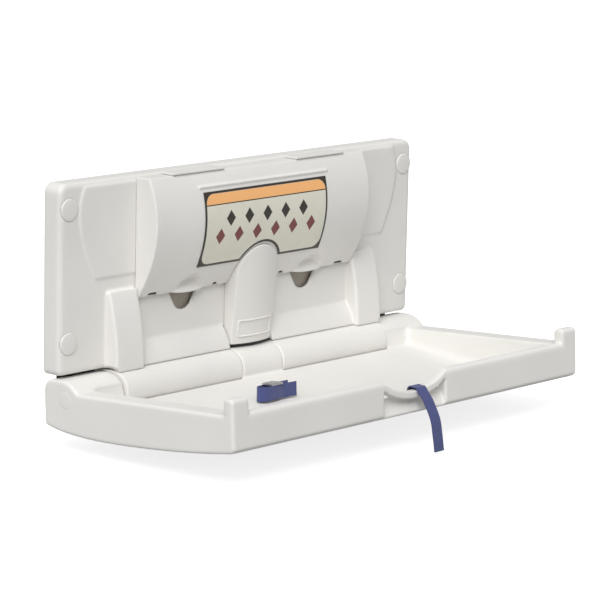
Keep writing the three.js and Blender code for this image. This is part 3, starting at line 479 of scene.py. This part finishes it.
def moulded_plastic(look):
    """Off-white plastic from a mould: a faint cloud of tone, duller patches and a fine spark-eroded grain."""
    shader = material("white moulding")
    place = shader.place()
    cloud = shader.noise(place, scale=5.0, detail=4.0).rise(low=0.35, high=0.7)
    patches = shader.noise(place, scale=38.0, detail=3.0)
    grain = shader.noise(place, scale=1.0 / look.grain, detail=1.0)
    shader.set(Base_Color=shader.shade(cloud, look.colour, dark=0.975, light=1.02))
    shader.set(Roughness=patches.span(look.roughness - DULLNESS, look.roughness + DULLNESS))
    return shader.set(Normal=shader.bump(grain, distance=look.grain * GRAIN_DEPTH, strength=0.35))


def zinc_steel(look):
    """Zinc-plated steel: a long brushed streak over dull and bright patches."""
    shader = material("zinc steel")
    place = shader.place()
    streak = shader.noise(shader.stretch(place, scale=(30.0, 900.0, 900.0)), scale=1.0, detail=3.0)
    patches = shader.noise(place, scale=60.0, detail=3.0)
    colour = shader.shade(patches, look.colour, dark=0.86, light=1.12)
    shader.set(Base_Color=colour, Metallic=1.0, Roughness=streak.span(low=0.22, high=0.44))
    return shader.set(Normal=shader.bump(streak, distance=0.05 * MM, strength=0.5))


def dark_nylon(tone):
    """Dark nylon with a dull moulded skin; on the black strips in the slot and gaps the same finish is
    painted shade.
    """
    shader = material("dark nylon")
    grain = shader.noise(shader.place(), scale=900.0)
    colour = shader.shade(grain, tone, dark=0.8, light=1.3)
    shader.set(Base_Color=colour, Roughness=grain.span(low=0.45, high=0.65))
    return shader.set(Normal=shader.bump(grain, distance=0.08 * MM, strength=0.4))


def woven_webbing(look):
    """Flat-woven webbing: ribs across the band, warp lines along it, a firm selvedge and uneven yarn."""
    shader = material("strap webbing")
    measure = shader.measure()
    across, along, _ = shader.parts(measure)
    selvedge = across.abs().rise(look.width * SELVEDGE_START, look.width * SELVEDGE_END)
    ribs = along.wave(look.rib)
    warp = across.wave(look.rib * WARP_PITCH)
    twill = (across + along).wave(look.rib * TWILL_PITCH)
    height = ribs * RIB_SHARE + warp * WARP_SHARE + twill * TWILL_SHARE
    yarn = shader.noise(measure, scale=260.0, detail=3.0)
    colour = shader.shade((height + yarn) / 2, look.colour, dark=0.72, light=1.25)
    colour = shader.mix(selvedge * SELVEDGE_SHARE, colour, tint(look.colour, SELVEDGE_TONE))
    shader.set(Base_Color=colour, Roughness=0.85, Sheen_Weight=0.25, Specular_IOR_Level=0.2)
    return shader.set(Normal=shader.bump(height, distance=0.25 * MM, strength=0.6))


def printed_film(look):
    """Printed film: a cream field in a dark border with round corners, a bright band and rows of diamonds."""
    shader = material("printed film")
    place = shader.place()
    x, _, z = shader.parts(place)
    aside = x.abs()
    beside = (look.corner - FILM_HALF + aside).most(0.0)
    beyond = (look.corner - (z - FILM_LOW).least(FILM_HIGH - z)).most(0.0)
    edge = look.corner - (beside * beside + beyond * beyond).math("SQRT")
    rise = z - FILM_ARCH_FOOT
    ring = (x * x + rise * rise).math("SQRT") - FILM_ARCH
    inside = (look.row_reach - aside).onset(MOTIF_SOFT)
    colour = shader.shade(shader.noise(place, scale=40.0), look.field, dark=0.94, light=1.04)
    strip = edge.rise(look.border, look.border + LINE_SOFT) * (z - look.band_low).onset(LINE_SOFT)
    colour = shader.mix(strip, colour, tint(look.band))
    for row, shift, tone in ((look.row_high, 0.0, look.ink), (look.row_low, look.pitch / 2, look.accent)):
        diamond = (x + shift).fold(look.pitch) + (z - row).abs() * DIAMOND_SLOPE
        colour = shader.mix((look.diamond - diamond).onset(MOTIF_SOFT) * inside, colour, tint(tone))
    rule = (RULE_HALF - (z - look.band_low).abs()).onset(LINE_SOFT)
    frame_line = (look.border - edge.least(ring)).onset(LINE_SOFT)
    colour = shader.mix(rule.most(frame_line), colour, tint(look.ink))
    shader.set(Base_Color=colour, Coat_Weight=0.15)
    return shader.set(Roughness=shader.noise(place, scale=90.0).span(low=0.35, high=0.5))


def kraft_paper(look):
    """Grey-brown paper with flecks and soft creases."""
    shader = material("liner paper")
    place = shader.place()
    fleck = shader.noise(place, scale=420.0, detail=4.0)
    crease = shader.noise(shader.stretch(place, scale=(60.0, 60.0, 9.0)), scale=1.0, detail=3.0)
    tone = fleck * FLECK_SHARE + crease * CREASE_SHARE
    shader.set(Base_Color=shader.shade(tone, look.paper, dark=0.7, light=1.25), Roughness=0.9)
    return shader.set(Normal=shader.bump(crease, distance=1.5 * MM, strength=0.5))


def colour_property(label, text, value):
    return bpy.props.FloatVectorProperty(name=label, description=text, subtype="COLOR", size=3, min=0, max=1,
                                         default=value)


def length_property(label, text, value):
    return bpy.props.FloatProperty(name=label, description=text, default=value, unit="LENGTH", precision=5)


class PlasticLook(bpy.types.PropertyGroup):
    """Finish of the white mouldings"""

    colour: colour_property("Colour", "Tone of the plastic", (0.80, 0.785, 0.755))
    roughness: bpy.props.FloatProperty(name="Roughness", description="How dull the plastic is", default=0.42)
    grain: length_property("Grain", "Size of the moulded grain", 0.9 * MM)
    ridge: length_property("Ridge", "Radius of the moulded ridges", 1.9 * MM)
    boss: length_property("Boss", "Radius of the bosses on the ends of the bed", 14 * MM)


class MetalLook(bpy.types.PropertyGroup):
    """Finish of the steel and nylon pieces"""

    colour: colour_property("Steel", "Tone of the steel", (0.56, 0.57, 0.58))
    # The nylon tone also colours the black strips that paint shade into the slot and gaps
    nylon: colour_property("Nylon", "Tone of the nylon and of the rubber strips", (0.028, 0.029, 0.031))
    edge: length_property("Edge", "Radius that softens a sharp edge", 0.35 * MM)


class StrapLook(bpy.types.PropertyGroup):
    """Size and finish of the safety strap"""

    colour: colour_property("Colour", "Tone of the webbing", (0.067, 0.081, 0.215))
    width: length_property("Width", "Width of the webbing", 25 * MM)
    thickness: length_property("Thickness", "Thickness of the webbing", 1.8 * MM)
    rib: length_property("Rib", "Pitch of the woven ribs", 1.3 * MM)


class FilmLook(bpy.types.PropertyGroup):
    """Print of the film on the dispenser and tone of the paper in it"""

    field: colour_property("Field", "Tone of the field", (0.75, 0.735, 0.635))
    band: colour_property("Band", "Tone of the band at the top", (0.95, 0.49, 0.19))
    ink: colour_property("Ink", "Tone of the border and of the upper row", (0.035, 0.028, 0.022))
    accent: colour_property("Accent", "Tone of the lower row", (0.20, 0.055, 0.05))
    paper: colour_property("Paper", "Tone of the paper liners", (0.42, 0.38, 0.33))
    border: length_property("Border", "Width of the border", 4.2 * MM)
    corner: length_property("Corner", "Radius of the border's corners", 22 * MM)
    band_low: length_property("Band", "Height of the foot of the band", 300 * MM)
    row_high: length_property("Upper row", "Height of the upper row", 274 * MM)
    row_low: length_property("Lower row", "Height of the lower row", 244 * MM)
    row_reach: length_property("Reach", "How far the rows reach to each side", 126.5 * MM)
    pitch: length_property("Pitch", "Pitch of the diamonds", 46 * MM)
    diamond: length_property("Diamond", "Half width of a diamond", 11.5 * MM)


class StageLook(bpy.types.PropertyGroup):
    """Camera, light and floor"""

    azimuth: bpy.props.FloatProperty(name="Azimuth", description="Where the camera stands round the station",
                                     subtype="ANGLE", default=math.radians(-48))
    elevation: bpy.props.FloatProperty(name="Elevation", description="How far the camera looks down",
                                       subtype="ANGLE", default=math.radians(10.68))
    roll: bpy.props.FloatProperty(name="Roll", description="Turn of the camera about its view",
                                  subtype="ANGLE", default=math.radians(1.26))
    distance: length_property("Distance", "From the camera to its target", 5.246)
    lens: bpy.props.FloatProperty(name="Lens", description="Focal length in millimetres", default=183.9)
    target: bpy.props.FloatVectorProperty(name="Target", description="Place that the camera looks at", size=3,
                                          default=(-0.03282, -0.2, 0.1391), subtype="TRANSLATION")
    sky: bpy.props.FloatProperty(name="Sky", description="Strength of the even light", default=0.44)
    sun: bpy.props.FloatProperty(name="Sun", description="Strength of the soft key light", default=2.4)
    spread: bpy.props.FloatProperty(name="Spread", description="Width of the soft key light", subtype="ANGLE",
                                    default=math.radians(40))
    key: bpy.props.FloatVectorProperty(name="Key", description="Where the soft key light comes from", size=3,
                                       default=(-0.85, -0.6, 1.15), subtype="DIRECTION")
    drop: length_property("Drop", "How far the floor lies below the station", 6 * MM)
    reach: length_property("Reach", "How far the floor reaches to each side", 6.0)
    glow: bpy.props.FloatProperty(name="Glow", description="How bright the floor is in view", default=0.8)


class StationOperator:
    """What every step of the dressing shares."""

    bl_options = {"REGISTER", "UNDO"}

    def execute(self, context):
        self.build(context.scene)
        return {"FINISHED"}


def joined_skin():
    """A node group that joins the loose faces of a solid and shades it as one smooth skin."""
    tree = bpy.data.node_groups.new("joined_skin", "GeometryNodeTree")
    for flow in ("INPUT", "OUTPUT"):
        tree.interface.new_socket("Geometry", in_out=flow, socket_type="NodeSocketGeometry")
    flow = tree.nodes.new("NodeGroupInput").outputs[0]
    merge = tree.nodes.new("GeometryNodeMergeByDistance")
    merge.inputs["Distance"].default_value = JOIN_REACH
    strip = tree.nodes.new("GeometryNodeRemoveAttribute")
    strip.inputs["Name"].default_value = "custom_normal"
    smooth = tree.nodes.new("GeometryNodeSetShadeSmooth")
    for node in (merge, strip, smooth):
        tree.links.new(flow, node.inputs["Geometry"])
        flow = node.outputs["Geometry"]
    tree.links.new(flow, tree.nodes.new("NodeGroupOutput").inputs[0])
    return tree


def even_normals(node):
    """Lets the large faces of a solid decide how its corners are shaded."""
    node.modifiers.new("even normals", "WEIGHTED_NORMAL").weight = FACE_WEIGHT


def soften(node, skin, edge):
    """Joins a solid's faces and rounds its sharp edges."""
    node.modifiers.new("joined", "NODES").node_group = skin
    bevel = node.modifiers.new("soft edges", "BEVEL")
    bevel.width = edge
    bevel.segments = BEVEL_STEPS
    bevel.limit_method = "ANGLE"
    bevel.angle_limit = SHARP_ANGLE
    bevel.use_clamp_overlap = False
    even_normals(node)


def recast(node, cell, rounds, share):
    """Recasts a solid as one skin on a lattice, rounds its edges off and drops the faces it can spare."""
    cast = node.modifiers.new("cast", "REMESH")
    cast.mode = "VOXEL"
    cast.voxel_size = cell
    cast.use_smooth_shade = True
    ease = node.modifiers.new("ease", "SMOOTH")
    ease.factor = EASE_SHARE
    ease.iterations = rounds
    node.modifiers.new("spare", "DECIMATE").ratio = share


def finish(piece, look, body):
    """Gives a new piece its material and the body it moves with."""
    piece.data.materials.append(look)
    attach(piece, body)


class STATION_OT_mouldings(StationOperator, bpy.types.Operator):
    """Recasts the white mouldings with soft edges and adds their caps, ridges and bosses"""

    bl_idname = "station.mouldings"
    bl_label = "White mouldings"

    def build(self, scene):
        look = scene.station_plastic
        plastic = moulded_plastic(look)
        for name, (cell, rounds, share) in MOULDS.items():
            recast(NODES[name], cell, rounds, share)
            NODES[name].material_slots[0].material = plastic
        for name in CAP_NODES:
            self.cap(name, plastic)
        finish(self.ridge(look), plastic, "wall_unit")
        for side, end in SIDES:
            boss = self.boss(f"end_boss_{end}", side, look.boss)
            finish(boss, plastic, "bed")

    def cap(self, name, plastic):
        """A domed screw cap: a straight rim, a round shoulder and a shallow crown."""
        low, high = (Vector(corner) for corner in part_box(name))
        radius = (high.x - low.x) / 2
        middle = (low + high) / 2
        depth = high.y - low.y
        rim = [(radius, 0), (radius, depth - CAP_SHOULDER), (radius - CAP_STEP_IN, depth - CAP_STEP_DOWN)]
        dome = [((radius - CAP_SHOULDER) * r, depth + CAP_CROWN * (1 - r ** 2)) for r in CAP_RADII]
        piece = lathe(f"domed_{name}", (middle.x, high.y, middle.z), (0, -1, 0), rim + dome)
        finish(piece, plastic, "wall_unit")
        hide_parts(name)

    def ridge(self, look):
        """A raised frame on the middle cover: a round ridge along a rounded rectangle on its bowed front."""
        route = rounded_rectangle(RIDGE_HALF_WIDTH, RIDGE_HALF_HEIGHT, RIDGE_CORNER)
        ahead = np.roll(route, -1, axis=0) - np.roll(route, 1, axis=0)
        ahead /= np.linalg.norm(ahead, axis=1, keepdims=True)
        outward = np.stack([ahead[:, 1], -ahead[:, 0]], -1)
        turn = np.linspace(0, 2 * np.pi, RIDGE_STEPS, endpoint=False)
        x = route[:, :1] + outward[:, :1] * np.cos(turn) * look.ridge
        z = RIDGE_MIDDLE + route[:, 1:] + outward[:, 1:] * np.cos(turn) * look.ridge
        y = cover_front(x, z) - np.sin(turn) * look.ridge
        return surface("cover_ridge", np.stack([x, y, z], -1), wrap=True, loop=True)

    def boss(self, name, side, radius):
        """A low round boss on the end of the bed, about the hinge axis."""
        profile = [(radius + BOSS_FOOT, -BOSS_ROOT), (radius + BOSS_SHOULDER, BOSS_CROWN)]
        profile += [(radius * r, BOSS_PROUD + BOSS_CROWN * (1 - r ** 2)) for r in BOSS_RADII]
        return lathe(name, (side * (BED_HALF - BOSS_PROUD), HINGE.y, HINGE.z), (side, 0, 0), profile)


class STATION_OT_metalwork(StationOperator, bpy.types.Operator):
    """Gives the steel and nylon pieces their finish and adds black strips that paint shade into the slot
    under the middle cover, the gaps under the panel's feet and the slit under the dispenser's lip
    """

    bl_idname = "station.metalwork"
    bl_label = "Metalwork and bushes"

    def build(self, scene):
        look = scene.station_metal
        skin = joined_skin()
        steel = zinc_steel(look)
        # Dark nylon for the nylon pieces, also used as painted shade on the black strips
        nylon = dark_nylon(look.nylon)
        for names, finish_of in ((STEEL_NODES, steel), (NYLON_NODES, nylon)):
            for name in names:
                soften(NODES[name], skin, look.edge)
                NODES[name].material_slots[0].material = finish_of
        # Painted shade: a black strip darkens the slot under the middle cover
        finish(self.flap(), nylon, "wall_unit")
        for side, end in SIDES:
            # Painted shade: black strips in the gaps under the panel's feet and the slit under the
            # dispenser's lip
            for name, strip in STRIPS.items():
                finish(self.strip(f"{name}_{end}", side, *strip), nylon, "wall_unit")

    def flap(self):
        """A black strip in the slot under the cover that paints its shade: it follows the bowed front, set
        back.
        """
        x = np.linspace(-SLOT_SHADE_HALF, SLOT_SHADE_HALF, SLOT_SHADE_STEPS)
        path = np.stack([x, cover_front(x, COVER_FOOT) + SLOT_SHADE_BACK, np.full_like(x, SLOT_SHADE_HEIGHT)], -1)
        return band("slot_shade_strip", path, (0, 0, 1), SLOT_SHADE_WIDTH, SHADE_STRIP_THICKNESS)

    def strip(self, name, side, start, end, out, height, width):
        """A straight upright black strip that paints shade: in the gap under the panel's foot or in the slit
        under the dispenser's lip.
        """
        x = side * np.linspace(start, end, STRIP_STEPS)
        path = np.stack([x, np.full_like(x, out), np.full_like(x, height)], -1)
        return band(name, path, (0, 0, 1), width, SHADE_STRIP_THICKNESS)


class STATION_OT_film(StationOperator, bpy.types.Operator):
    """Prints the film on the dispenser and hangs a paper liner behind each finger opening"""

    bl_idname = "station.film"
    bl_label = "Film and liners"

    def build(self, scene):
        look = scene.station_film
        film = NODES["label_film"]
        film.modifiers.new("joined", "NODES").node_group = joined_skin()
        even_normals(film)
        film.material_slots[0].material = printed_film(look)
        paper = kraft_paper(look)
        for side, end in SIDES:
            finish(self.liner(f"liner_{end}", side * LINER_AT), paper, "wall_unit")

    def liner(self, name, x):
        """A stack of paper liners that hangs in the panel and bows a little along its way."""
        z = np.linspace(LINER_HIGH, LINER_LOW, LINER_STEPS)
        bow = LINER_WAVE * np.sin((z - LINER_LOW) / (LINER_HIGH - LINER_LOW) * 2 * np.pi)
        path = np.stack([np.full_like(z, x), LINER_OUT - bow, z], -1)
        piece = band(name, path, (1, 0, 0), LINER_WIDTH, LINER_THICKNESS)
        return piece


class STATION_OT_strap(StationOperator, bpy.types.Operator):
    """Weaves the safety strap over the lip of the bed and the loop that holds its buckle"""

    bl_idname = "station.strap"
    bl_label = "Safety strap"

    def build(self, scene):
        look = scene.station_strap
        webbing = woven_webbing(look)
        self.strap(look, webbing)
        self.loop(look, webbing)

    def strap(self, look, webbing):
        """The long half: up the inner face of the wall, over the lip and down to its free end."""
        rise = [(WALL_INNER + d * MM, STRAP_MIDDLE + z * MM) for d, z in LEAD_RISE]
        fall = [(BED_REACH + d * MM, STRAP_MIDDLE + z * MM) for d, z in LEAD_FALL]
        route = spline(rise + fall, STRAP_STEPS)
        path = bed_place(STRAP_X, route[:, 0], route[:, 1])
        piece = band("safety_strap", path, (1, 0, 0), look.width, look.thickness)
        piece.data.materials.append(webbing)
        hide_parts("strap_lead", "strap_tail")
        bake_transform(piece)

    def loop(self, look, webbing):
        """The short half: a loop that stands on the floor of the tray and leans a little along its way."""
        route = spline(LOOP_ROUTE, LOOP_STEPS) * MM
        path = bed_place(route[:, 0], route[:, 1], LOOP_HEIGHT)
        upright = (0, math.sin(BED_TILT), math.cos(BED_TILT))
        lean = LOOP_LEAN * np.sin(np.linspace(0, LOOP_SWINGS * np.pi, LOOP_STEPS))
        piece = band("buckle_loop", path, upright, look.width, look.thickness, lean)
        finish(piece, webbing, "bed")
        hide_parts("strap_loop")


class STATION_OT_stage(StationOperator, bpy.types.Operator):
    """Sets up the camera, the soft light and the pale floor"""

    bl_idname = "station.stage"
    bl_label = "Stage"

    def build(self, scene):
        look = scene.station_stage
        self.camera(scene, look)
        self.light(scene, look)
        self.floor(look)
        scene.view_settings.view_transform = "Standard"

    def camera(self, scene, look):
        """A camera that looks at its target from an azimuth, elevation and distance, with a little roll."""
        a, e, r = look.azimuth, look.elevation, look.roll
        back = Vector((math.sin(a) * math.cos(e), -math.cos(a) * math.cos(e), math.sin(e)))
        right = Vector((math.cos(a), math.sin(a), 0))
        up = back.cross(right)
        right, up = right * math.cos(r) + up * math.sin(r), up * math.cos(r) - right * math.sin(r)
        data = bpy.data.cameras.new("station_camera")
        data.lens = look.lens
        data.sensor_width = SENSOR_WIDTH
        data.clip_end = CLIP_END
        camera = bpy.data.objects.new("station_camera", data)
        turn = Matrix((right, up, back)).transposed().to_4x4()
        camera.matrix_world = Matrix.Translation(Vector(look.target) + back * look.distance) @ turn
        scene.collection.objects.link(camera)
        scene.camera = camera

    def light(self, scene, look):
        """A white sky that lights dimly but looks white to the camera, and one broad soft sun."""
        scene.world = scene.world or bpy.data.worlds.new("studio")
        sky = Shader(scene.world, "Background")
        seen = sky.add("ShaderNodeLightPath", None, "Is Camera Ray")
        through = sky.add("ShaderNodeLightPath", None, "Is Transmission Ray")
        strength = seen.most(through) * (1 - look.sky) + look.sky
        sky.set(Color=tint(WHITE), Strength=strength)
        lamp = bpy.data.lights.new("soft_key", "SUN")
        lamp.energy = look.sun
        lamp.angle = look.spread
        key = bpy.data.objects.new("soft_key", lamp)
        key.rotation_euler = Vector(look.key).to_track_quat("Z", "Y").to_euler()
        scene.collection.objects.link(key)

    def floor(self, look):
        """A pale floor that lies a little below the station and can't be seen from beneath."""
        low = CAD_BOX[0][2] - look.drop
        reach = np.linspace(-look.reach, look.reach, FLOOR_STEPS)
        x, y = np.meshgrid(reach, reach)
        floor = surface("studio_floor", np.stack([x, y, np.full_like(x, low)], -1))
        shader = material("studio floor")
        tone = shader.noise(shader.place(), scale=3.0)
        seen = shader.add("ShaderNodeLightPath", None, "Is Camera Ray")
        shader.set(Base_Color=shader.shade(tone, GREY, dark=0.92, light=1.0), Roughness=0.9)
        shader.set(Emission_Color=shader.mix(seen, tint(BLACK), tint(WHITE)), Emission_Strength=look.glow)
        below = shader.add("ShaderNodeNewGeometry", None, "Backfacing")
        floor.data.materials.append(shader.set(Specular_IOR_Level=0.0, Alpha=1 - below))


class STATION_PT_parts(bpy.types.Panel):
    """Lists the steps of the dressing"""

    bl_idname = "STATION_PT_parts"
    bl_label = "Changing Station"
    bl_space_type = "VIEW_3D"
    bl_region_type = "UI"
    bl_category = "Station"

    def draw(self, context):
        for step in STEPS:
            self.layout.operator(step.bl_idname)


LOOKS = {
    "station_plastic": PlasticLook,
    "station_metal": MetalLook,
    "station_strap": StrapLook,
    "station_film": FilmLook,
    "station_stage": StageLook,
}
STEPS = (STATION_OT_mouldings, STATION_OT_metalwork, STATION_OT_film, STATION_OT_strap, STATION_OT_stage)
CLASSES = (*LOOKS.values(), *STEPS, STATION_PT_parts)


def register():
    for each in CLASSES:
        bpy.utils.register_class(each)
    for name, look in LOOKS.items():
        setattr(bpy.types.Scene, name, bpy.props.PointerProperty(type=look))


def unregister():
    for name in LOOKS:
        delattr(bpy.types.Scene, name)
    for each in reversed(CLASSES):
        bpy.utils.unregister_class(each)


def main():
    register()
    for step in STEPS:
        group, name = step.bl_idname.split(".")
        getattr(getattr(bpy.ops, group), name)()
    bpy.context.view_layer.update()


if __name__ == "__main__":
    main()
